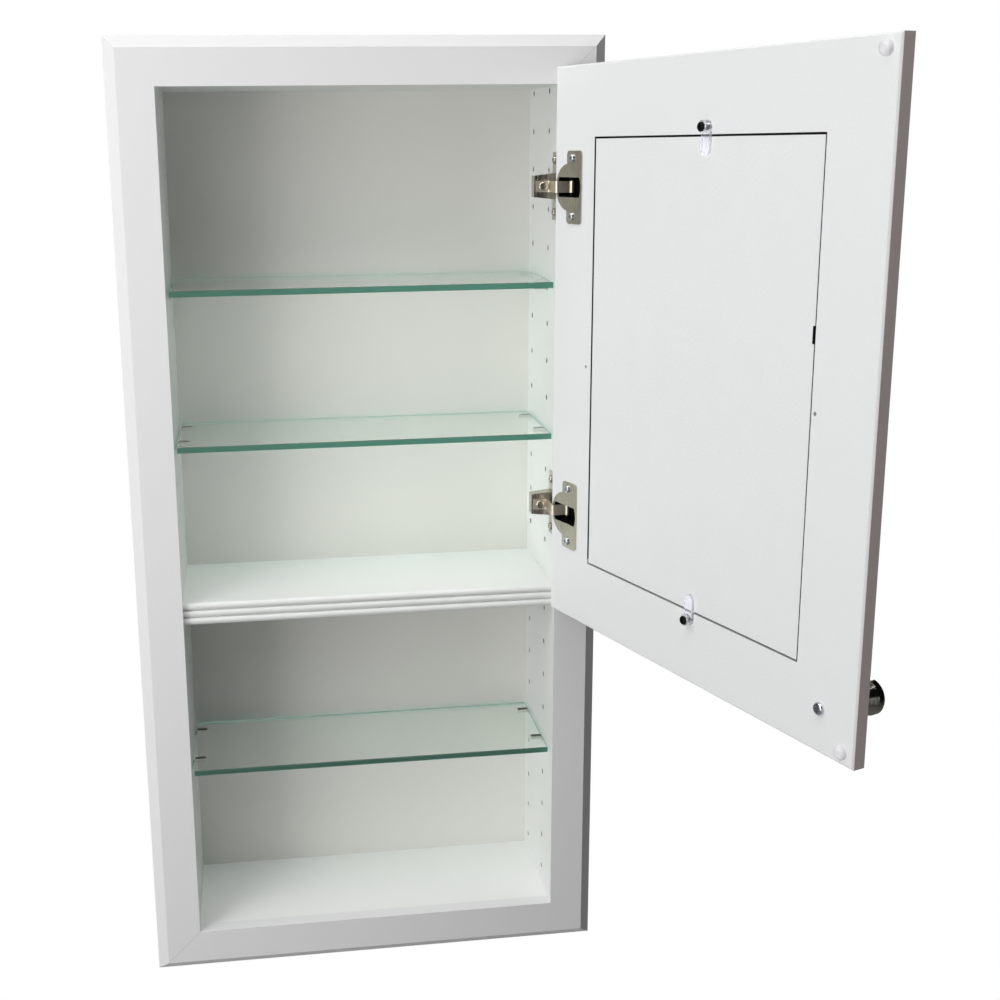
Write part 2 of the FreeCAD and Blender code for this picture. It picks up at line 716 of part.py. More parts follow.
def turn_clip(label, height, towards):
    """A turn clip: a boss round its screw and a tongue over the panel, down when towards is -1."""
    body = new_body(label)
    seat = f"({DOOR_BACK} + dims.clip_play)"
    half = "dims.clip_tongue_width / 2"
    boss = new_sketch(body, "XZ_Plane", seat)
    circle(boss, CLIP_X, height, "dims.clip_boss_radius")
    pad(body, boss, "dims.clip_height", backwards=True)
    tongue = new_sketch(body, "XZ_Plane", seat)
    shoulder = f"{height} + {towards} * (dims.clip_tongue_reach - dims.clip_tip_height)"
    tip = f"(({half}) ^ 2 + dims.clip_tip_height ^ 2) / (2 * dims.clip_tip_height)"
    outline(tongue, [
        (f"{CLIP_X} - {half}", height),
        (f"{CLIP_X} - {half}", shoulder, tip, -towards),
        (f"{CLIP_X} + {half}", shoulder),
        (f"{CLIP_X} + {half}", height),
    ])
    pad(body, tongue, "dims.clip_tongue_thickness", backwards=True)
    eye = new_sketch(body, "XZ_Plane", seat)
    circle(eye, CLIP_X, height, "dims.screw_radius + dims.clip_eye_play")
    pocket(body, eye, "dims.clip_height")
    hang(body)
    finish(body)


def knob():
    """A round knob on the front of the door, turned from one profile, and blind-bored for its screw."""
    body = new_body("knob")
    profile = new_sketch(body, "XY_Plane", KNOB_Z)
    profile.setExpression(".AttachmentOffset.Base.x", KNOB_X)
    bore = "dims.knob_screw_radius + dims.screw_clearance"
    bottom = f"{DOOR_FRONT} - dims.knob_screw_engagement - dims.pilot_relief"
    neck = f"({DOOR_FRONT} - dims.knob_base_thickness)"
    rim = f"({neck} - dims.knob_neck_length)"
    dome = f"({rim} - dims.knob_rim)"
    crown = "(dims.knob_projection - dims.knob_base_thickness - dims.knob_neck_length - dims.knob_rim)"
    ball = f"(dims.knob_radius ^ 2 + {crown} ^ 2) / (2 * {crown})"
    outline(profile, [
        (bore, DOOR_FRONT),
        ("dims.knob_base_radius", DOOR_FRONT),
        ("dims.knob_base_radius", neck),
        ("dims.knob_neck_radius", neck),
        ("dims.knob_neck_radius", f"{neck} - dims.knob_neck_length / 2"),
        ("dims.knob_radius", rim),
        ("dims.knob_radius", dome, ball, -1),
        ("0", f"{DOOR_FRONT} - dims.knob_projection"),
        ("0", bottom),
        (bore, bottom),
    ])
    revolve(body, profile, "V_Axis")
    hang(body)
    finish(body)


def bumper():
    """The pattern of a domed door bumper, standing on the door's back."""
    body = new_body("bumper_pattern")
    disc = new_sketch(body, "XZ_Plane")
    circle(disc, "0", "0", "dims.bumper_radius")
    base = pad(body, disc, "dims.bumper_height", backwards=True)
    doc.recompute()
    rim = [f"Edge{index + 1}" for index, edge in enumerate(body.Shape.Edges)
           if len(edge.Vertexes) == 1 and edge.CenterOfMass.y > number("dims.bumper_height") / 2]
    dome = body.newObject("PartDesign::Fillet", "bumper_dome")
    dome.Base = (base, rim)
    dome.setExpression("Radius", "dims.bumper_dome_share * dims.bumper_height")
    body.Tip = dome
    return body


# Concealed hinges
def flat_sided_round(sketch, radius, half_width):
    """A circle about the cup's centre, cut flat on both sides."""
    reach = f"sqrt(({radius}) ^ 2 - ({half_width}) ^ 2)"
    outline(sketch, [
        (f"{CUP_X} - {reach}", f"-({half_width})"),
        (f"{CUP_X} + {reach}", f"-({half_width})", radius, 1),
        (f"{CUP_X} + {reach}", half_width),
        (f"{CUP_X} - {reach}", half_width, radius, 1),
    ])


def hinge_cup(level):
    """The cup let into the door: a flange with two screw tabs over a flat-sided cup with an open mouth."""
    body = new_body(f"hinge_cup_{level}")
    edge = f"({HINGE_EDGE} - dims.flange_edge)"
    tab = f"({HINGE_EDGE} - dims.tab_setback)"
    corner = "dims.tab_corner"
    end = "(dims.tab_height / 2)"
    lobe = f"sqrt(dims.flange_radius ^ 2 - ({tab} - {CUP_X}) ^ 2)"
    half_cup = "dims.mouth_width / 2 + dims.cup_wall"
    top = f"({DOOR_BACK} + dims.flange_thickness)"
    flange = new_sketch(body, "XZ_Plane", DOOR_BACK)
    outline(flange, [
        (edge, f"{corner} - {end}", corner, 1),
        (f"{edge} + {corner}", f"-{end}"),
        (f"{tab} - {corner}", f"-{end}", corner, 1),
        (tab, f"{corner} - {end}"),
        (tab, f"-{lobe}", "dims.flange_radius", 1),
        (tab, lobe),
        (tab, f"{end} - {corner}", corner, 1),
        (f"{tab} - {corner}", end),
        (f"{edge} + {corner}", end, corner, 1),
        (edge, f"{end} - {corner}"),
    ])
    pad(body, flange, "dims.flange_thickness", backwards=True)
    cup = new_sketch(body, "XZ_Plane", DOOR_BACK)
    flat_sided_round(cup, "dims.cup_radius", half_cup)
    pad(body, cup, CUP_DEPTH)
    mouth = new_sketch(body, "XZ_Plane", top)
    flat_sided_round(mouth, "dims.cup_radius - dims.cup_wall", "dims.mouth_width / 2")
    pocket(body, mouth, f"dims.flange_thickness + {CUP_INSIDE}", backwards=True)
    holes = new_sketch(body, "XZ_Plane", top)
    for side in ("-1", "1"):
        circle(holes, f"{HINGE_EDGE} - dims.cup_screw_setback",
               f"{side} * dims.cup_screw_spread / 2", PILOT_RADIUS)
    pocket(body, holes, "dims.flange_thickness", backwards=True)
    axle = new_sketch(body, "XY_Plane", half_cup)
    circle(axle, "0", "0", "dims.hinge_pin_radius + dims.hinge_pin_play")
    pocket(body, axle, f"2 * ({half_cup})")
    hang(body, HINGES[level])

    pin = new_body(f"hinge_pin_{level}")
    rod = new_sketch(pin, "XY_Plane", f"-({half_cup})")
    circle(rod, "0", "0", "dims.hinge_pin_radius")
    pad(pin, rod, f"2 * ({half_cup})")
    hang(pin, HINGES[level])
    finish(body, pin)


def hinge_bush():
    """The pattern of the spacer that fills the pin between the arm's knuckle and the cup wall."""
    body = new_body("hinge_bush_pattern")
    ring = new_sketch(body, "XY_Plane")
    circle(ring, "0", "0", KNUCKLE_RADIUS)
    circle(ring, "0", "0", "dims.hinge_pin_radius + dims.hinge_pin_play")
    pad(body, ring, "(dims.mouth_width - dims.arm_width) / 2 - 2 * dims.bush_play")
    return body


def hinge_arm(level):
    """The cranked arm: a knuckle on the pin, a run out of the cup, a leg back and a foot on the bridge."""
    body = new_body(f"hinge_arm_{level}")
    low = "-dims.arm_width / 2"
    half = "dims.arm_thickness / 2"
    bend = "dims.arm_bend"
    outer = "(dims.arm_bend + dims.arm_thickness)"
    foot = "(dims.door_gap + dims.pivot_depth + dims.bridge_setback)"
    near = f"({half} - dims.arm_reach)"
    far = f"(-{half} - dims.arm_reach)"
    knuckle = new_sketch(body, "XY_Plane", low)
    circle(knuckle, "0", "0", KNUCKLE_RADIUS)
    pad(body, knuckle, "dims.arm_width")
    strip = new_sketch(body, "XY_Plane", low)
    outline(strip, [
        ("0", half),
        (f"{near} + {bend}", half, bend, -1),
        (near, f"{half} + {bend}"),
        (near, f"{foot} - {outer}", outer, 1),
        (f"{near} - {outer}", foot),
        (f"{far} - dims.arm_foot", foot),
        (f"{far} - dims.arm_foot", f"{foot} - dims.arm_thickness"),
        (f"{far} - {bend}", f"{foot} - dims.arm_thickness", bend, -1),
        (far, f"{foot} - dims.arm_thickness - {bend}"),
        (far, f"{outer} - {half}", outer, 1),
        (f"{far} + {outer}", f"-{half}"),
        ("0", f"-{half}"),
    ])
    pad(body, strip, "dims.arm_width")
    eye = new_sketch(body, "XY_Plane", "dims.arm_width / 2")
    circle(eye, "0", "0", "dims.hinge_pin_radius + dims.hinge_pin_play")
    pocket(body, eye, "dims.arm_width")
    slot = new_sketch(body, "XZ_Plane", foot)
    circle(slot, "dims.pivot_setback - dims.side_overlay - dims.adjust_screw_reach", "0",
           "dims.adjust_screw_radius + dims.screw_clearance")
    pocket(body, slot, "dims.arm_thickness", backwards=True)
    place(body, PIVOT_X, PIVOT_Y, HINGES[level])
    finish(body)


BASE_FACE = f"({HALF_OPENING} - dims.base_thickness)"
BASE_FRONT = f"({FRAME_FRONT} + dims.base_setback)"
BASE_REAR = f"({BASE_FRONT} + dims.base_depth)"
BRIDGE_FRONT = f"({FRAME_FRONT} + dims.bridge_setback)"
BASE_SCREW_Y = f"({BASE_FRONT} + dims.base_depth / 2)"
ADJUST_X = f"({HALF_OPENING} - dims.adjust_screw_reach)"


def hinge_base(level):
    """The plate on the frame's inner edge, with a hollow bridge that tapers out to carry the arm."""
    body = new_body(f"hinge_base_{level}")
    plate = new_sketch(body, "YZ_Plane", BASE_FACE)
    rectangle(plate, BASE_FRONT, BASE_REAR, "-dims.base_height / 2", "dims.base_height / 2")
    pad(body, plate, "dims.base_thickness")

    def section(x, front, rear, height):
        sketch = new_sketch(body, "YZ_Plane", x)
        rectangle(sketch, front, rear, f"-({height}) / 2", f"({height}) / 2")
        return sketch

    def loft(kind, root, tip):
        feature = body.newObject(f"PartDesign::{kind}", f"{body.Name}_{kind.lower()}")
        feature.Profile = root
        feature.Sections = [tip]
        feature.Ruled = True
        body.Tip = feature

    loft("AdditiveLoft",
         section(BASE_FACE, BRIDGE_FRONT, BASE_REAR, "dims.bridge_root_height"),
         section(f"{HALF_OPENING} - dims.bridge_reach", BRIDGE_FRONT, BASE_REAR, "dims.bridge_tip_height"))
    wall = "dims.bridge_wall"
    loft("SubtractiveLoft",
         section(BASE_FACE, f"{BRIDGE_FRONT} + {wall}", BASE_REAR, f"dims.bridge_root_height - 2 * {wall}"),
         section(f"{HALF_OPENING} - dims.bridge_reach + {wall}", f"{BRIDGE_FRONT} + {wall}", BASE_REAR,
                 f"dims.bridge_tip_height - 2 * {wall}"))
    holes = new_sketch(body, "YZ_Plane", BASE_FACE)
    for side in ("-1", "1"):
        circle(holes, BASE_SCREW_Y, f"{side} * dims.base_screw_spread / 2", PILOT_RADIUS)
    pocket(body, holes, "dims.base_thickness", backwards=True)
    tapped = new_sketch(body, "XZ_Plane", BRIDGE_FRONT)
    circle(tapped, ADJUST_X, "0", "dims.adjust_screw_radius + dims.screw_clearance")
    pocket(body, tapped, wall)
    place(body, z=HINGES[level])
    finish(body)


# Build the cabinet
side_panel("left_side", -1)
side_panel("right_side", 1)
end_board("bottom_panel", "0", FLOOR, "0", upwards=False)
end_board("top_panel", CEILING, CEILING, CARCASS_TOP, upwards=True)
fixed_shelf()
back_panel()

frame_member("frame_top_rail", "dims.opening_width", 0, "0", CEILING)
frame_member("frame_bottom_rail", "dims.opening_width", 180, "0", FLOOR)
middle_height = f"({FLOOR} + dims.opening_height / 2)"
frame_member("frame_left_stile", "dims.opening_height", -90, f"-{HALF_OPENING}", middle_height)
hinge_stile = frame_member("frame_right_stile", "dims.opening_height", 90, HALF_OPENING, middle_height)
stile_pilots = new_sketch(hinge_stile, "XY_Plane")
for height in HINGES.values():
    for side in ("-", "+"):
        circle(stile_pilots, f"{middle_height} - ({height} {side} dims.base_screw_spread / 2)",
               BASE_SCREW_Y, PILOT_RADIUS)
pocket(hinge_stile, stile_pilots, PILOT_DEPTH, backwards=True)

pin_pattern = shelf_pin()
for level in GLASS_ROWS:
    glass_shelf(level, pin_pattern)

wood_screw = pan_screw("wood_screw_pattern", "dims.screw_radius", "dims.screw_length",
                       "dims.screw_head_radius", "dims.screw_head_height")
adjust_screw = pan_screw("adjust_screw_pattern", "dims.adjust_screw_radius",
                         "dims.arm_thickness + dims.bridge_wall + dims.adjust_screw_tail",
                         "dims.adjust_head_radius", "dims.adjust_head_height")
for level in HINGES:
    hinge_base(level)
    hinge_arm(level)
finish(group("hinge_base_screws", wood_screw, [
    (BASE_FACE, BASE_SCREW_Y, f"{height} {side} dims.base_screw_spread / 2", -90)
    for height in HINGES.values() for side in ("-", "+")]))
finish(group("hinge_adjust_screws", adjust_screw, [
    (ADJUST_X, f"{BRIDGE_FRONT} - dims.arm_thickness", height, 0) for height in HINGES.values()]))

# Build the door
door_slab()
glazing()
turn_clip("retainer_clip_upper", CLIP_UPPER, -1)
turn_clip("retainer_clip_lower", CLIP_LOWER, 1)
knob()
for level in HINGES:
    hinge_cup(level)

clip_screw = pan_screw("clip_screw_pattern", "dims.screw_radius",
                       "dims.clip_height + 2 * dims.clip_play + dims.screw_length",
                       "dims.screw_head_radius", "dims.screw_head_height")
knob_screw = pan_screw("knob_screw_pattern", "dims.knob_screw_radius",
                       "dims.door_thickness + dims.knob_screw_engagement",
                       "dims.knob_screw_head_radius", "dims.knob_screw_head_height")
bush = hinge_bush()
door_groups = [
    group("clip_screws", clip_screw, [
        (CLIP_X, f"{DOOR_BACK} + dims.clip_height + 2 * dims.clip_play", height, 180)
        for height in (CLIP_UPPER, CLIP_LOWER)]),
    group("knob_screw", knob_screw, [(KNOB_X, DOOR_BACK, KNOB_Z, 180)]),
    group("bumpers", bumper(), [
        (f"{FREE_EDGE} + dims.bumper_side_inset", DOOR_BACK, height, 0)
        for height in (f"{DOOR_BOTTOM} + dims.bumper_end_inset", f"{DOOR_TOP} - dims.bumper_end_inset")]),
    group("hinge_cup_screws", wood_screw, [
        (f"{HINGE_EDGE} - dims.cup_screw_setback", f"{DOOR_BACK} + dims.flange_thickness",
         f"{height} {side} dims.cup_screw_spread / 2", 180)
        for height in HINGES.values() for side in ("-", "+")]),
    group("hinge_bushes", bush, [
        ("0", "0", f"{height} {offset} + dims.bush_play", 0) for height in HINGES.values()
        for offset in ("+ dims.arm_width / 2", "- dims.mouth_width / 2")]),
]
for piece in door_groups:
    hang(piece)
finish(*door_groups)

# Check and write every sub-part
doc.recompute()
for item in doc.Objects:
    if "Invalid" in item.State or "Error" in item.State:
        raise RuntimeError(f"{item.Label} failed: {item.State}")
os.makedirs("parts", exist_ok=True)
for node in nodes:
    shape = node.Shape
    if shape.isNull() or not shape.isValid() or not shape.Solids:
        raise RuntimeError(f"{node.Label} has no valid solid")
for node in nodes:
    node.Shape.exportStep(f"parts/{node.Label}.step")
    print(node.Label, len(node.Shape.Solids), round(node.Shape.Volume / 1000, 2), "cm3")
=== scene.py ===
"""Dresses the recessed medicine cabinet and sets it in a studio."""
import json
import logging
import math
from dataclasses import dataclass
from enum import Enum

import bpy
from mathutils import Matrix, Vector


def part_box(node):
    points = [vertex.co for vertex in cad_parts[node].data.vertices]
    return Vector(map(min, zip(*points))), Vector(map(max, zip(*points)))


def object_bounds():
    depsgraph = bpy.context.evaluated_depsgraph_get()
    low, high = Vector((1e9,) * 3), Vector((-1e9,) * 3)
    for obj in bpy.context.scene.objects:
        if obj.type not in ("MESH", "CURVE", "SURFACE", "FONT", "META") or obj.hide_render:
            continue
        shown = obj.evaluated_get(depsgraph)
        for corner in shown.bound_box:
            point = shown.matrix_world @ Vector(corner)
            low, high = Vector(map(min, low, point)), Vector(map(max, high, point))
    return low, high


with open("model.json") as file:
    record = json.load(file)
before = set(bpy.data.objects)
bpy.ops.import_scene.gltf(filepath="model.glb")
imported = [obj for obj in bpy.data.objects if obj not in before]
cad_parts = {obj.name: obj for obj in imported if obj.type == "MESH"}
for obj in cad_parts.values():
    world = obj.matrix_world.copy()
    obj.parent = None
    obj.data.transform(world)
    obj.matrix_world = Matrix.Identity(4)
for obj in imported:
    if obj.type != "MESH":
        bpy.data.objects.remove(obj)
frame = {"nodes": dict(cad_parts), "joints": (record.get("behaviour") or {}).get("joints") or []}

CAD_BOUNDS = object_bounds()
Colour = tuple[float, float, float]
Point = tuple[float, float, float]
UP: Point = (0.0, 0.0, 1.0)
BLACK: Colour = (0.0, 0.0, 0.0)
WHITE: Colour = (1.0, 1.0, 1.0)
# Painted shade: near black, laid on the faces round the door's loose panel so that the gap there looks dark.
GAP_SHADE: Colour = (0.004, 0.004, 0.005)
MIDDLE_NOISE = (0.3, 0.7)
log = logging.getLogger("medicine_cabinet")


class Wave(Enum):
    """The kind of value that a shader socket carries."""

    VALUE = "NodeSocketFloat"
    COLOUR = "NodeSocketColor"
    VECTOR = "NodeSocketVector"


def rgba(colour: Colour) -> tuple[float, float, float, float]:
    """Adds an opaque alpha to a colour."""
    return (*colour, 1.0)


class NodeBench:
    """Places and links shader nodes in one node tree."""

    def __init__(self, tree: bpy.types.NodeTree) -> None:
        """Works on a tree.

        Args:
            tree: The node tree of a material, world or group.
        """
        self.tree = tree

    def add(self, kind: str, **settings: object) -> bpy.types.Node:
        """Adds a node.

        Args:
            kind: Blender's identifier of the node.
            **settings: Properties of the node to set.

        Returns:
            The new node.
        """
        node = self.tree.nodes.new(kind)
        for name, value in settings.items():
            setattr(node, name, value)
        return node

    def feed(self, target: bpy.types.NodeSocket, source: object) -> None:
        """Gives an input a plain value or a link from another node's output."""
        if isinstance(source, bpy.types.NodeSocket):
            self.tree.links.new(source, target)
        else:
            target.default_value = source

    def math(self, operation: str, first: object, second: object = 0.0,
             clamp: bool = False) -> bpy.types.NodeSocket:
        """Adds a sum on two values.

        Args:
            operation: Blender's name of the operation.
            first: A value or an output.
            second: A value or an output.
            clamp: Whether the result is kept between 0 and 1.

        Returns:
            The result's output.
        """
        node = self.add("ShaderNodeMath", operation=operation, use_clamp=clamp)
        self.feed(node.inputs[0], first)
        self.feed(node.inputs[1], second)
        return node.outputs[0]

    def blend(self, share: object, first: object, second: object) -> bpy.types.NodeSocket:
        """Blends two colours by a share that changes over the surface."""
        node = self.add("ShaderNodeMix", data_type="RGBA")
        self.feed(node.inputs["Factor"], share)
        self.feed(node.inputs["A"], first)
        self.feed(node.inputs["B"], second)
        return node.outputs["Result"]

    def noise(self, vector: object, scale: object, detail: float) -> bpy.types.NodeSocket:
        """Adds a noise pattern and returns its value."""
        node = self.add("ShaderNodeTexNoise")
        self.feed(node.inputs["Vector"], vector)
        self.feed(node.inputs["Scale"], scale)
        node.inputs["Detail"].default_value = detail
        return node.outputs["Fac"]

    def span(self, value: object, low: object, high: object, start: object,
             end: object) -> bpy.types.NodeSocket:
        """Maps a value from one range, low to high, to another, start to end."""
        node = self.add("ShaderNodeMapRange")
        for index, source in enumerate((value, low, high, start, end)):
            self.feed(node.inputs[index], source)
        return node.outputs["Result"]

    def place(self) -> bpy.types.NodeSocket:
        """The object coordinates, which every pattern here is laid on."""
        return self.add("ShaderNodeTexCoord").outputs["Object"]

    def reach(self, axis: Point) -> bpy.types.NodeSocket:
        """How far a point of the piece lies along a direction."""
        node = self.add("ShaderNodeVectorMath", operation="DOT_PRODUCT")
        self.feed(node.inputs[0], self.place())
        node.inputs[1].default_value = axis
        return node.outputs["Value"]


class SurfaceGroup:
    """A shader node group that more than one finish uses, built once."""

    def __init__(self, name: str, inputs: dict[str, Wave], outputs: dict[str, Wave]) -> None:
        """Makes an empty group with named sockets.

        Args:
            name: The group's name.
            inputs: The kind of each input.
            outputs: The kind of each output.
        """
        self.tree = bpy.data.node_groups.new(name, "ShaderNodeTree")
        for label, wave in inputs.items():
            self.tree.interface.new_socket(label, in_out="INPUT", socket_type=wave.value)
        for label, wave in outputs.items():
            self.tree.interface.new_socket(label, in_out="OUTPUT", socket_type=wave.value)
        self.bench = NodeBench(self.tree)
        self.given = self.bench.add("NodeGroupInput").outputs
        self.result = self.bench.add("NodeGroupOutput").inputs


def film_group() -> bpy.types.NodeTree:
    """Builds the rolled film of a painted or moulded surface.

    Returns:
        A group with a mottled colour, an uneven gloss and a fine stipple.
    """
    patch_detail = 4.0
    stipple_detail = 2.0
    gloss_drift = 0.05
    group = SurfaceGroup(
        "rolled_film",
        {"Light": Wave.COLOUR, "Shade": Wave.COLOUR, "Patch Scale": Wave.VALUE, "Stipple Scale": Wave.VALUE,
         "Stipple Depth": Wave.VALUE, "Gloss": Wave.VALUE},
        {"Color": Wave.COLOUR, "Roughness": Wave.VALUE, "Normal": Wave.VECTOR})
    bench, given, result = group.bench, group.given, group.result
    place = bench.place()
    patch = bench.noise(place, given["Patch Scale"], patch_detail)
    stipple = bench.noise(place, given["Stipple Scale"], stipple_detail)
    bench.feed(result["Color"], bench.blend(patch, given["Light"], given["Shade"]))
    unevenness = bench.span(patch, *MIDDLE_NOISE, -gloss_drift, gloss_drift)
    bench.feed(result["Roughness"], bench.math("ADD", given["Gloss"], unevenness, clamp=True))
    bump = bench.add("ShaderNodeBump")
    bench.feed(bump.inputs["Height"], stipple)
    bench.feed(bump.inputs["Distance"], given["Stipple Depth"])
    bench.feed(result["Normal"], bump.outputs["Normal"])
    return group.tree


def plating_group() -> bpy.types.NodeTree:
    """Builds the drawn and plated skin of a metal piece.

    Returns:
        A group with a clouded colour, an uneven gloss and fine drawing lines.
    """
    cloud_detail = 3.0
    line_detail = 2.0
    line_stretch = (1.0, 1.0, 0.08)
    line_depth = 0.00004
    gloss_drift = 0.06
    group = SurfaceGroup(
        "drawn_plating",
        {"Bright": Wave.COLOUR, "Dull": Wave.COLOUR, "Cloud Scale": Wave.VALUE, "Line Scale": Wave.VALUE,
         "Gloss": Wave.VALUE},
        {"Color": Wave.COLOUR, "Roughness": Wave.VALUE, "Normal": Wave.VECTOR})
    bench, given, result = group.bench, group.given, group.result
    place = bench.place()
    cloud = bench.noise(place, given["Cloud Scale"], cloud_detail)
    stretch = bench.add("ShaderNodeMapping")
    bench.feed(stretch.inputs["Vector"], place)
    stretch.inputs["Scale"].default_value = line_stretch
    lines = bench.noise(stretch.outputs["Vector"], given["Line Scale"], line_detail)
    bench.feed(result["Color"], bench.blend(cloud, given["Bright"], given["Dull"]))
    unevenness = bench.span(lines, *MIDDLE_NOISE, -gloss_drift, gloss_drift)
    bench.feed(result["Roughness"], bench.math("ADD", given["Gloss"], unevenness, clamp=True))
    bump = bench.add("ShaderNodeBump")
    bench.feed(bump.inputs["Height"], lines)
    bump.inputs["Distance"].default_value = line_depth
    bench.feed(result["Normal"], bump.outputs["Normal"])
    return group.tree


FILM = film_group()
PLATING = plating_group()


class MaterialBench(NodeBench):
    """Builds one material around its Principled shader."""

    def __init__(self, name: str) -> None:
        """Starts a material with that name."""
        self.material = bpy.data.materials.new(name)
        self.material.use_nodes = True
        super().__init__(self.material.node_tree)
        self.shader = self.tree.nodes["Principled BSDF"]
        self.output = self.tree.nodes["Material Output"]

    def group(self, tree: bpy.types.NodeTree, **inputs: object) -> bpy.types.bpy_prop_collection:
        """Places a shared group.

        Args:
            tree: The group.
            **inputs: Its inputs, with _ for a space in a name.

        Returns:
            The group's outputs.
        """
        node = self.add("ShaderNodeGroup", node_tree=tree)
        for name, value in inputs.items():
            node.inputs[name.replace("_", " ")].default_value = value
        return node.outputs

    def surface(self, **sockets: object) -> bpy.types.Material:
        """Feeds the shader's sockets.

        Args:
            **sockets: Values or outputs, with _ for a space in a socket's name.

        Returns:
            The finished material.
        """
        for name, value in sockets.items():
            self.feed(self.shader.inputs[name.replace("_", " ")], value)
        return self.material

    def clear_shadow(self, tint: Colour) -> None:
        """Lets lamp light through a clear piece, tinted, instead of a solid shadow."""
        veil = self.add("ShaderNodeBsdfTransparent")
        veil.inputs["Color"].default_value = rgba(tint)
        mix = self.add("ShaderNodeMixShader")
        self.feed(mix.inputs["Fac"], self.add("ShaderNodeLightPath").outputs["Is Shadow Ray"])
        self.feed(mix.inputs[1], self.shader.outputs["BSDF"])
        self.feed(mix.inputs[2], veil.outputs["BSDF"])
        self.feed(self.output.inputs["Surface"], mix.outputs["Shader"])


@dataclass(frozen=True)
class Film:
    """A painted or moulded finish: two close tints, a gloss and a stipple."""

    name: str
    light: Colour
    shade: Colour
    gloss: float = 0.42
    patch_scale: float = 9.0
    stipple_scale: float = 900.0
    stipple_depth: float = 0.00008
    specular: float = 0.5

    def outputs(self, bench: MaterialBench) -> bpy.types.bpy_prop_collection:
        """Places the film group with this finish's values."""
        return bench.group(
            FILM, Light=rgba(self.light), Shade=rgba(self.shade), Patch_Scale=self.patch_scale,
            Stipple_Scale=self.stipple_scale, Stipple_Depth=self.stipple_depth, Gloss=self.gloss)

    def material(self) -> bpy.types.Material:
        """Builds the opaque material."""
        bench = MaterialBench(self.name)
        film = self.outputs(bench)
        return bench.surface(Base_Color=film["Color"], Roughness=film["Roughness"], Normal=film["Normal"],
                             Specular_IOR_Level=self.specular)


@dataclass(frozen=True)
class BoredFilm(Film):
    """Paint on a board whose pin holes show bare wood below its inner face, darkened further with painted
    shade.
    """

    inner_face: float = 0.0
    hole_depth: float = 0.0
    front: float = 0.0
    rear: float = 0.0
    # Bare wood with painted shade: the colour inside the pin holes is darker than bare wood.
    bare_and_shade: Colour = (0.16, 0.145, 0.12)

    def material(self) -> bpy.types.Material:
        """Builds the material with its dark holes: bare wood and painted shade."""
        bench = MaterialBench(self.name)
        film = self.outputs(bench)
        axes = bench.add("ShaderNodeSeparateXYZ")
        bench.feed(axes.inputs["Vector"], bench.place())
        across = bench.math("ABSOLUTE", axes.outputs["X"])
        bored = bench.math("MULTIPLY", bench.math("GREATER_THAN", across, self.inner_face),
                           bench.math("LESS_THAN", across, self.inner_face + self.hole_depth))
        columns = bench.math("MULTIPLY", bench.math("GREATER_THAN", axes.outputs["Y"], self.front),
                             bench.math("LESS_THAN", axes.outputs["Y"], self.rear))
        # Bare wood and painted shade inside the pin holes.
        colour = bench.blend(bench.math("MULTIPLY", bored, columns), film["Color"], rgba(self.bare_and_shade))
        return bench.surface(Base_Color=colour, Roughness=film["Roughness"], Normal=film["Normal"])


@dataclass(frozen=True)
class EdgedFilm(Film):
    """Paint on a door whose free edge is coloured darker and warmer, for a cause not known, and whose well
    round the panel carries painted shade, near black.
    """

    outward: Point = (0.0, -1.0, 0.0)
    free_edge: float = 0.0
    # The free edge is coloured darker and warmer than the slab; the cause is not known.
    edge_tone: Colour = (0.72, 0.64, 0.63)
    # Painted shade: these spans bound the well round the panel, coloured near black.
    shaded_well: tuple[tuple[Point, float, float], ...] = ()
    bare_and_shade: Colour = GAP_SHADE

    def material(self) -> bpy.types.Material:
        """Builds the material with its darker, warmer edge and the painted shade in its well."""
        bench = MaterialBench(self.name)
        film = self.outputs(bench)
        edge = bench.math("GREATER_THAN", bench.reach(self.outward), self.free_edge)
        colour = bench.blend(edge, film["Color"], rgba(self.edge_tone))
        # Painted shade: the well's mask, the faces inside all three spans.
        inside_shade = 1.0
        for axis, low, high in self.shaded_well:
            reach = bench.reach(axis)
            between = bench.math("MULTIPLY", bench.math("GREATER_THAN", reach, low),
                                 bench.math("LESS_THAN", reach, high))
            inside_shade = bench.math("MULTIPLY", inside_shade, between)
        colour = bench.blend(inside_shade, colour, rgba(self.bare_and_shade))
        return bench.surface(Base_Color=colour, Roughness=film["Roughness"], Normal=film["Normal"])


@dataclass(frozen=True)
class LoosePanelFilm(Film):
    """Paint on the face of a loose panel, with painted shade, near black, on its edges below the face, so
    that the gap around it looks dark.
    """

    normal: Point = (0.0, 1.0, 0.0)
    painted_face: float = 0.0
    # Painted shade for the gap: the colour and gloss of the panel's edges.
    bare_and_shade: Colour = GAP_SHADE
    gap_shade_gloss: float = 1.0

    def material(self) -> bpy.types.Material:
        """Builds the material with the painted shade on its edges."""
        bench = MaterialBench(self.name)
        film = self.outputs(bench)
        # Painted shade: every face below the painted face is coloured near black.
        edge = bench.math("LESS_THAN", bench.reach(self.normal), self.painted_face)
        colour = bench.blend(edge, film["Color"], rgba(self.bare_and_shade))
        roughness = bench.span(edge, 0.0, 1.0, film["Roughness"], self.gap_shade_gloss)
        return bench.surface(Base_Color=colour, Roughness=roughness, Normal=film["Normal"])


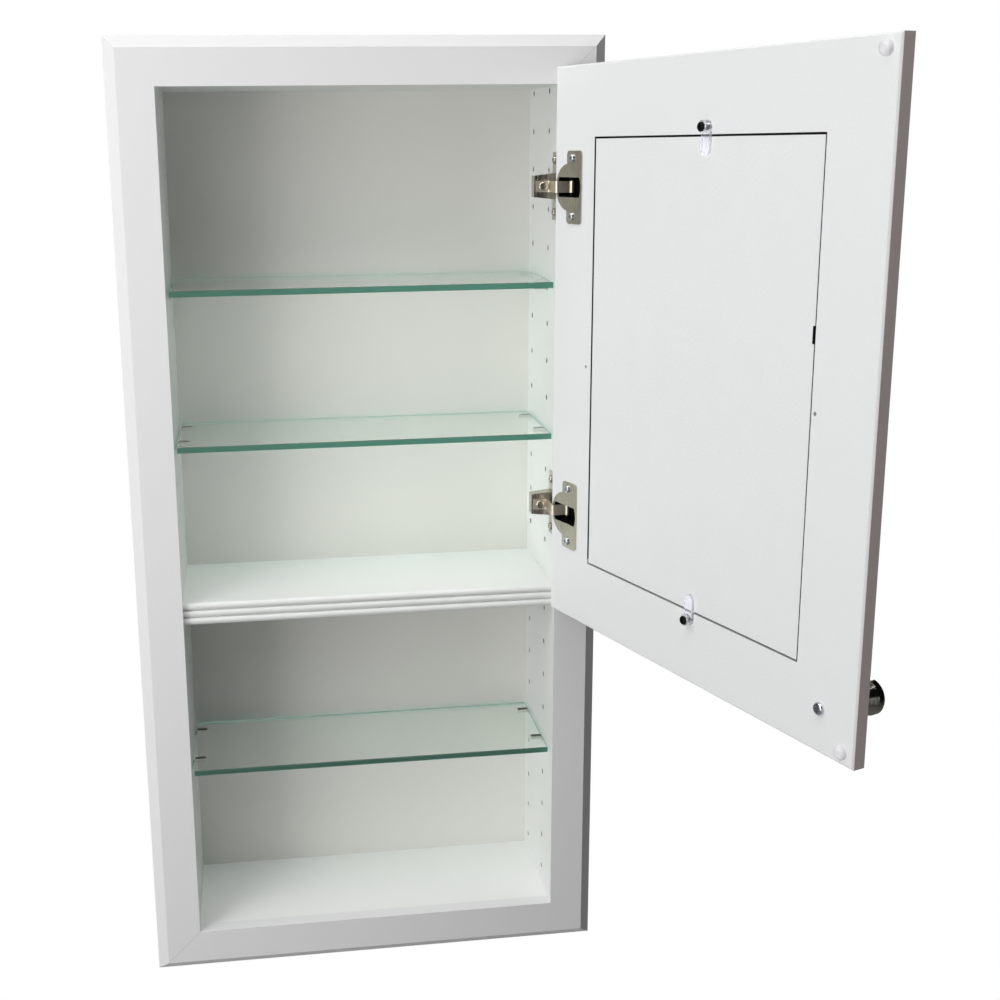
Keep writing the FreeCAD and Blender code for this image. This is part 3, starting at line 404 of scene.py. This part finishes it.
@dataclass(frozen=True)
class MitredFilm(Film):
    """Paint on the face frame, with a hairline at each mitre, nearly closed at two opposite corners."""

    half_width: float = 0.0
    half_height: float = 0.0
    middle: float = 0.0
    hairline: float = 0.0003
    hairline_colour: Colour = (0.47, 0.47, 0.47)
    tight_corner: float = 0.15

    def material(self) -> bpy.types.Material:
        """Builds the material with its hairlines."""
        bench = MaterialBench(self.name)
        film = self.outputs(bench)
        axes = bench.add("ShaderNodeSeparateXYZ")
        bench.feed(axes.inputs["Vector"], bench.place())
        across = bench.math("SUBTRACT", bench.math("ABSOLUTE", axes.outputs["X"]), self.half_width)
        along = bench.math("SUBTRACT", axes.outputs["Z"], self.middle)
        along = bench.math("SUBTRACT", bench.math("ABSOLUTE", along), self.half_height)
        offset = bench.math("ABSOLUTE", bench.math("SUBTRACT", across, along))
        line = bench.span(offset, 0.0, self.hairline, 1.0, 0.0)
        corner = bench.math("MULTIPLY", line, bench.math("GREATER_THAN", across, 0.0))
        rise = bench.math("SUBTRACT", axes.outputs["Z"], self.middle)
        open_pair = bench.math("GREATER_THAN", bench.math("MULTIPLY", axes.outputs["X"], rise), 0.0)
        weight = bench.span(open_pair, 0.0, 1.0, self.tight_corner, 1.0)
        share = bench.math("MULTIPLY", corner, weight)
        colour = bench.blend(share, film["Color"], rgba(self.hairline_colour))
        return bench.surface(Base_Color=colour, Roughness=film["Roughness"], Normal=film["Normal"])


@dataclass(frozen=True)
class Plating:
    """A plated metal finish."""

    name: str
    bright: Colour
    dull: Colour
    gloss: float
    cloud_scale: float = 60.0
    line_scale: float = 700.0

    def outputs(self, bench: MaterialBench) -> bpy.types.bpy_prop_collection:
        """Places the plating group with this finish's values."""
        return bench.group(
            PLATING, Bright=rgba(self.bright), Dull=rgba(self.dull), Cloud_Scale=self.cloud_scale,
            Line_Scale=self.line_scale, Gloss=self.gloss)

    def material(self) -> bpy.types.Material:
        """Builds the metal material."""
        bench = MaterialBench(self.name)
        skin = self.outputs(bench)
        return bench.surface(
            Metallic=1.0, Base_Color=skin["Color"], Roughness=skin["Roughness"], Normal=skin["Normal"])


@dataclass(frozen=True)
class MirrorSilver(Plating):
    """Silvered glass, with a painted reflection of the pale room that it looks out on, a weak glow on its
    face, and dark paint on its back.
    """

    normal: Point = (0.0, 1.0, 0.0)
    rear: float = 0.0
    rear_paint: Colour = (0.012, 0.012, 0.013)
    painted_sheen_detail: float = 1.0
    # Painted reflection: the glow that stands in for the pale room seen in the mirror.
    painted_sheen: Colour = (0.30, 0.31, 0.315)
    dim_painted_sheen: Colour = (0.25, 0.26, 0.265)

    def material(self) -> bpy.types.Material:
        """Builds the mirror material."""
        bench = MaterialBench(self.name)
        skin = self.outputs(bench)
        cloud = bench.noise(bench.place(), self.cloud_scale, self.painted_sheen_detail)
        painted = bench.math("GREATER_THAN", bench.reach(self.normal), self.rear)
        # Painted reflection: a glow on the front face only, none on the painted back.
        painted_sheen = bench.blend(cloud, rgba(self.painted_sheen), rgba(self.dim_painted_sheen))
        return bench.surface(
            Metallic=1.0, Base_Color=bench.blend(painted, skin["Color"], rgba(self.rear_paint)),
            Roughness=skin["Roughness"], Emission_Color=bench.blend(painted, painted_sheen, rgba(BLACK)),
            Emission_Strength=1.0)


@dataclass(frozen=True)
class CupPlating(Plating):
    """Plating on a hinge cup, with painted shade: its inside, below the face of the door, is coloured black.
    """

    face: float = 0.0
    normal: Point = (0.0, 1.0, 0.0)
    # Painted shade: the black and the gloss of the cup's inside.
    inside_shade: Colour = (0.001, 0.001, 0.001)
    inside_shade_gloss: float = 0.7
    inside_specular: float = 0.1

    def material(self) -> bpy.types.Material:
        """Builds the metal material with the painted shade, black and not metal, inside the cup."""
        bench = MaterialBench(self.name)
        skin = self.outputs(bench)
        outside = bench.math("GREATER_THAN", bench.reach(self.normal), self.face)
        # Painted shade: black inside the cup, plated metal outside.
        colour = bench.blend(outside, rgba(self.inside_shade), skin["Color"])
        roughness = bench.span(outside, 0.0, 1.0, self.inside_shade_gloss, skin["Roughness"])
        return bench.surface(Metallic=outside, Base_Color=colour, Roughness=roughness, Normal=skin["Normal"],
                             Specular_IOR_Level=self.inside_specular)


@dataclass(frozen=True)
class ShelfGlass:
    """Clear float glass with ground edges that look green, and a painted glow on those edges."""

    name: str
    face: Colour
    edge: Colour
    # Painted glow: the light that the edges seem to carry, as an emission.
    painted_edge_glow: Colour
    shadow: Colour
    edge_gloss: float = 0.45
    edge_turn: tuple[float, float] = (0.85, 0.95)
    streak_scale: float = 40.0
    streak_detail: float = 2.0
    streak_gloss: float = 0.03
    ior: float = 1.5

    def material(self) -> bpy.types.Material:
        """Builds the glass material."""
        bench = MaterialBench(self.name)
        upward = bench.add("ShaderNodeSeparateXYZ")
        bench.feed(upward.inputs["Vector"], bench.add("ShaderNodeNewGeometry").outputs["True Normal"])
        flatness = bench.math("ABSOLUTE", upward.outputs["Z"])
        edge = bench.span(flatness, *self.edge_turn, 1.0, 0.0)
        streaks = bench.noise(bench.place(), self.streak_scale, self.streak_detail)
        polished = bench.span(streaks, *MIDDLE_NOISE, 0.0, self.streak_gloss)
        roughness = bench.span(edge, 0.0, 1.0, polished, self.edge_gloss)
        # The edges get their green and a painted glow; the flat faces stay clear.
        bench.surface(
            Base_Color=bench.blend(edge, rgba(self.face), rgba(self.edge)), Roughness=roughness,
            Emission_Color=bench.blend(edge, rgba(BLACK), rgba(self.painted_edge_glow)), Emission_Strength=1.0,
            Transmission_Weight=1.0, IOR=self.ior)
        bench.clear_shadow(self.shadow)
        return bench.material


@dataclass(frozen=True)
class ClearPlastic(Film):
    """A moulded see-through plastic."""

    transmission: float = 0.9
    ior: float = 1.47
    shadow: Colour = (0.9, 0.9, 0.9)

    def material(self) -> bpy.types.Material:
        """Builds the plastic material."""
        bench = MaterialBench(self.name)
        film = self.outputs(bench)
        bench.surface(
            Base_Color=film["Color"], Roughness=film["Roughness"], Normal=film["Normal"],
            Transmission_Weight=self.transmission, IOR=self.ior)
        bench.clear_shadow(self.shadow)
        return bench.material


def dress(material: bpy.types.Material, *nodes: str) -> None:
    """Puts a finish on CAD nodes.

    Args:
        material: The finish's material.
        *nodes: The names of the nodes.
    """
    for name in nodes:
        piece = frame["nodes"][name]
        if not piece.material_slots:
            piece.data.materials.append(None)
        for slot in piece.material_slots:
            slot.material = material
        log.info("%s: %s", name, material.name)


def door_back() -> tuple[float, Point]:
    """Finds the back face of the door from the joint of a clip that turns on it.

    Returns:
        How far the face lies along its normal, and the normal.
    """
    joint = next(joint for joint in frame["joints"] if joint["name"] == "clip_upper_turn")
    normal = tuple(joint["axis"])
    return Vector(joint["pos_m"]).dot(normal), normal


def limits(node: str, axis: Point) -> tuple[float, float]:
    """Finds how far a CAD node reaches along a direction.

    Args:
        node: The node's name.
        axis: The direction, of length 1.

    Returns:
        The lowest and the highest reach.
    """
    reaches = [corner.co.dot(Vector(axis)) for corner in frame["nodes"][node].data.vertices]
    return min(reaches), max(reaches)


@dataclass
class Carcass:
    """The boards in the wall and the fixed shelf between cupboard and niche."""

    boards: Film = Film("carcass_paint", (0.82, 0.83, 0.815), (0.79, 0.80, 0.785))
    # Painted light: the bottom board is the same paint made lighter, for the light that falls on the niche
    # floor.
    floor: Film = Film("floor_board_lit_paint", (0.89, 0.895, 0.885), (0.86, 0.865, 0.855))
    paint_depth: float = 0.0004
    hole_depth: float = 0.012
    edge_margin: float = 0.012
    # Painted shade: the back panel is the same paint made darker, and warmer, for the shade deep in the
    # cabinet.
    back: Film = Film("back_paint", (0.755, 0.75, 0.71), (0.725, 0.72, 0.68))

    def dress(self) -> None:
        """Paints the boards."""
        dress(self.boards.material(), "top_panel", "fixed_shelf")
        dress(self.floor.material(), "bottom_panel")
        low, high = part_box("right_side")
        sides = BoredFilm(
            "side_paint", self.boards.light, self.boards.shade, inner_face=low.x + self.paint_depth,
            hole_depth=self.hole_depth, front=low.y + self.edge_margin, rear=high.y - self.edge_margin)
        dress(sides.material(), "left_side", "right_side")
        dress(self.back.material(), "back_panel")


@dataclass
class FaceFrame:
    """The mitred moulding round the opening."""

    light: Colour = (0.82, 0.815, 0.825)
    shade: Colour = (0.795, 0.79, 0.80)

    def dress(self) -> None:
        """Paints the four mouldings, with the mitres placed from the frame's own boxes."""
        low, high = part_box("frame_top_rail")
        floor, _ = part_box("frame_bottom_rail")
        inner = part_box("frame_right_stile")[0].x
        width = high.x - inner
        paint = MitredFilm(
            "frame_paint", self.light, self.shade, half_width=inner,
            half_height=(high.z - floor.z) / 2 - width, middle=(high.z + floor.z) / 2)
        dress(paint.material(), "frame_top_rail", "frame_bottom_rail", "frame_left_stile",
              "frame_right_stile")


@dataclass
class Shelves:
    """The glass shelves and their pins."""

    glass: ShelfGlass = ShelfGlass(
        "shelf_glass", face=(0.915, 0.965, 0.935), edge=(0.052, 0.22, 0.168),
        painted_edge_glow=(0.027, 0.068, 0.049), shadow=(0.86, 0.92, 0.90))
    pins: Plating = Plating("pin_zinc", (0.76, 0.76, 0.67), (0.58, 0.58, 0.52), gloss=0.38)

    def dress(self) -> None:
        """Finishes every shelf and its pins."""
        for level in ("upper", "middle", "lower"):
            dress(self.glass.material(), f"glass_shelf_{level}")
            dress(self.pins.material(), f"shelf_pins_{level}")


@dataclass
class Door:
    """The painted door with its mirror, backing panel, clips, knob and bumpers."""

    slab_light: Colour = (0.80, 0.805, 0.81)
    slab_shade: Colour = (0.78, 0.785, 0.79)
    panel_light: Colour = (0.80, 0.805, 0.81)
    panel_shade: Colour = (0.77, 0.775, 0.78)
    gap: float = 0.003
    lip: float = 0.0003
    silver: Colour = (0.72, 0.73, 0.73)
    dim_silver: Colour = (0.70, 0.71, 0.71)
    clip: ClearPlastic = ClearPlastic(
        "clear_plastic", (0.83, 0.82, 0.86), (0.78, 0.78, 0.82), gloss=0.12, ior=1.3)
    clip_screw: Film = Film(
        "black_screw", (0.003, 0.003, 0.003), (0.006, 0.006, 0.006), gloss=0.35, specular=0.12)
    bumper: ClearPlastic = ClearPlastic(
        "bumper_clear", (0.78, 0.77, 0.79), (0.74, 0.73, 0.75), gloss=0.35, transmission=0.3, ior=1.3)
    knob: Plating = Plating("knob_nickel", (0.30, 0.285, 0.25), (0.20, 0.19, 0.17), gloss=0.16)
    screw: Plating = Plating("screw_zinc", (0.72, 0.75, 0.78), (0.58, 0.61, 0.65), gloss=0.22)

    def dress(self) -> None:
        """Finishes the door's pieces."""
        face, normal = door_back()
        outward = (-normal[1], normal[0], 0.0)
        hinge_side, free_side = limits("backing_panel", outward)
        foot, crest = limits("backing_panel", UP)
        ledge, mirror_rear = limits("mirror", normal)
        # The well round the backing panel, where the door frame gets painted shade.
        shaded_well = ((outward, hinge_side - self.gap, free_side + self.gap),
                (UP, foot + self.gap, crest + self.gap),
                (normal, ledge - self.lip, face - self.lip))
        panel = LoosePanelFilm(
            "panel_paint", self.panel_light, self.panel_shade, patch_scale=40.0, stipple_scale=450.0,
            stipple_depth=0.00016, normal=normal,
            painted_face=limits("backing_panel", normal)[1] - self.lip)
        slab = EdgedFilm(
            "door_paint", self.slab_light, self.slab_shade, stipple_depth=0.00015, outward=outward,
            free_edge=limits("door_frame", outward)[1] - self.lip, shaded_well=shaded_well)
        dress(slab.material(), "door_frame")
        dress(panel.material(), "backing_panel")
        mirror = MirrorSilver(
            "mirror_silver", self.silver, self.dim_silver, gloss=0.05, cloud_scale=4.0, line_scale=3.0,
            normal=normal, rear=mirror_rear - self.lip)
        dress(mirror.material(), "mirror")
        dress(self.clip.material(), "retainer_clip_upper", "retainer_clip_lower")
        dress(self.clip_screw.material(), "clip_screws")
        dress(self.bumper.material(), "bumpers")
        dress(self.knob.material(), "knob")
        dress(self.screw.material(), "knob_screw", "hinge_cup_screws")


@dataclass
class Hinges:
    """The two concealed hinges."""

    bright: Colour = (0.60, 0.56, 0.48)
    dull: Colour = (0.46, 0.43, 0.36)
    gloss: float = 0.24
    arm: Plating = Plating("hinge_arm_nickel", (0.80, 0.74, 0.62), (0.64, 0.59, 0.49), gloss=0.40)
    screw: Plating = Plating("hinge_screw_nickel", (0.62, 0.58, 0.50), (0.48, 0.45, 0.38), gloss=0.22)
    bush: Film = Film(
        "black_nylon", (0.003, 0.003, 0.003), (0.006, 0.006, 0.006), gloss=0.5, specular=0.12)

    def dress(self) -> None:
        """Finishes the hinges, with the painted black shade in each cup measured from the door's back face.
        """
        face, normal = door_back()
        nickel = Plating("hinge_nickel", self.bright, self.dull, self.gloss).material()
        cup = CupPlating(
            "hinge_cup_nickel", self.bright, self.dull, self.gloss, face=face, normal=normal).material()
        arm = self.arm.material()
        for level in ("upper", "lower"):
            dress(nickel, f"hinge_base_{level}", f"hinge_pin_{level}")
            dress(arm, f"hinge_arm_{level}")
            dress(cup, f"hinge_cup_{level}")
        dress(self.screw.material(), "hinge_base_screws", "hinge_adjust_screws")
        dress(self.bush.material(), "hinge_bushes")


@dataclass(frozen=True)
class SoftBox:
    """A square studio lamp aimed at a point of the object."""

    name: str
    place: Point
    aim: Point
    width: float
    power: float
    colour: Colour = WHITE

    def build(self) -> None:
        """Hangs the lamp."""
        lamp = bpy.data.lights.new(self.name, "AREA")
        lamp.shape = "SQUARE"
        lamp.size = self.width
        lamp.energy = self.power
        lamp.color = self.colour
        holder = bpy.data.objects.new(self.name, lamp)
        holder.location = self.place
        holder.rotation_euler = (Vector(self.aim) - Vector(self.place)).to_track_quat("-Z", "Y").to_euler()
        bpy.context.scene.collection.objects.link(holder)


@dataclass
class Studio:
    """Pale floor, white surroundings and soft lamps."""

    floor_drop: float = 0.75
    floor_radius: float = 8.0
    floor_sides: int = 96
    floor_gloss: float = 0.9
    shadow_radius: float = 0.45
    fade_radius: float = 0.92
    paper_white: float = 0.68
    floor_colour: Colour = (0.42, 0.42, 0.42)
    ambient: float = 0.01
    ambient_colour: Colour = (1.0, 0.88, 0.85)
    lamps: tuple[SoftBox, ...] = (
        SoftBox("top_left_lamp", (-1.2, -0.5, 2.2), (0.0, 0.0, 0.4), 1.6, 24.0),
        SoftBox("top_lamp", (0.15, -0.6, 1.9), (0.0, 0.0, 0.4), 0.8, 8.6),
        SoftBox("low_left_lamp", (-1.2, -1.0, 0.3), (0.0, 0.0, 0.4), 0.8, 9.2),
        SoftBox("near_left_lamp", (-0.8, -0.9, 0.9), (0.0, 0.0, 0.45), 0.9, 4.7),
        SoftBox("low_front_lamp", (-0.2, -1.6, 0.1), (0.0, 0.0, 0.4), 1.0, 1.9),
        SoftBox("rear_lamp", (1.2, 2.0, 1.4), (0.1, 0.0, 0.4), 1.6, 40.0),
    )

    def build(self) -> None:
        """Builds the floor, the world and the lamps."""
        self.lay_floor()
        self.light_world()
        for lamp in self.lamps:
            lamp.build()

    def lay_floor(self) -> None:
        """Lays a round floor that keeps the shadow near the object and fades to white around it."""
        bpy.ops.object.select_all(action="DESELECT")
        low = CAD_BOUNDS[0]
        bpy.ops.mesh.primitive_circle_add(
            vertices=self.floor_sides, radius=self.floor_radius, fill_type="NGON",
            location=(0.0, 0.0, low[2] - self.floor_drop))
        floor = bpy.context.object
        floor.name = "studio_floor"
        bench = MaterialBench("floor_paper")
        distance = bench.add("ShaderNodeVectorMath", operation="LENGTH")
        bench.feed(distance.inputs[0], bench.place())
        fade = bench.span(
            distance.outputs["Value"], self.shadow_radius, self.fade_radius, self.paper_white, 1.0)
        seen = bench.math("MULTIPLY", fade, bench.add("ShaderNodeLightPath").outputs["Is Camera Ray"])
        bench.surface(Base_Color=rgba(self.floor_colour), Roughness=self.floor_gloss)
        white = bench.add("ShaderNodeEmission")
        mix = bench.add("ShaderNodeMixShader")
        bench.feed(mix.inputs["Fac"], seen)
        bench.feed(mix.inputs[1], bench.shader.outputs["BSDF"])
        bench.feed(mix.inputs[2], white.outputs["Emission"])
        bench.feed(bench.output.inputs["Surface"], mix.outputs["Shader"])
        floor.data.materials.append(bench.material)

    def light_world(self) -> None:
        """Makes the surroundings white to the eye and through glass, and a soft grey light to the rest."""
        world = bpy.data.worlds.new("studio_white")
        world.use_nodes = True
        bpy.context.scene.world = world
        bench = NodeBench(world.node_tree)
        soft = world.node_tree.nodes["Background"]
        soft.inputs["Color"].default_value = rgba(self.ambient_colour)
        soft.inputs["Strength"].default_value = self.ambient
        white = bench.add("ShaderNodeBackground")
        white.inputs["Color"].default_value = rgba(WHITE)
        path = bench.add("ShaderNodeLightPath").outputs
        seen = bench.math("MAXIMUM", path["Is Camera Ray"], path["Is Transmission Ray"])
        mix = bench.add("ShaderNodeMixShader")
        bench.feed(mix.inputs["Fac"], seen)
        bench.feed(mix.inputs[1], soft.outputs["Background"])
        bench.feed(mix.inputs[2], white.outputs["Background"])
        bench.feed(world.node_tree.nodes["World Output"].inputs["Surface"], mix.outputs["Shader"])


@dataclass
class PhotoCamera:
    """The camera at the photograph's viewpoint."""

    place: Point = (-0.09549, -1.09040, 0.69586)
    pitch: float = 76.840
    roll: float = 0.6625
    yaw: float = -7.3727
    lens: float = 47.898
    sensor: float = 36.0
    shift: tuple[float, float] = (0.0832, -0.0424)

    def build(self) -> None:
        """Sets the scene's camera."""
        camera = bpy.data.cameras.new("photo_camera")
        camera.lens = self.lens
        camera.sensor_width = self.sensor
        camera.shift_x, camera.shift_y = self.shift
        holder = bpy.data.objects.new("photo_camera", camera)
        holder.location = self.place
        holder.rotation_euler = [math.radians(angle) for angle in (self.pitch, self.roll, self.yaw)]
        bpy.context.scene.collection.objects.link(holder)
        bpy.context.scene.camera = holder


def main() -> None:
    """Dresses every sub-assembly and builds the studio round it."""
    logging.basicConfig(level=logging.INFO, format="%(message)s")
    bpy.context.scene.view_settings.view_transform = "Standard"
    for assembly in (Carcass(), FaceFrame(), Shelves(), Door(), Hinges()):
        assembly.dress()
    Studio().build()
    PhotoCamera().build()


if __name__ == "__main__":
    main()
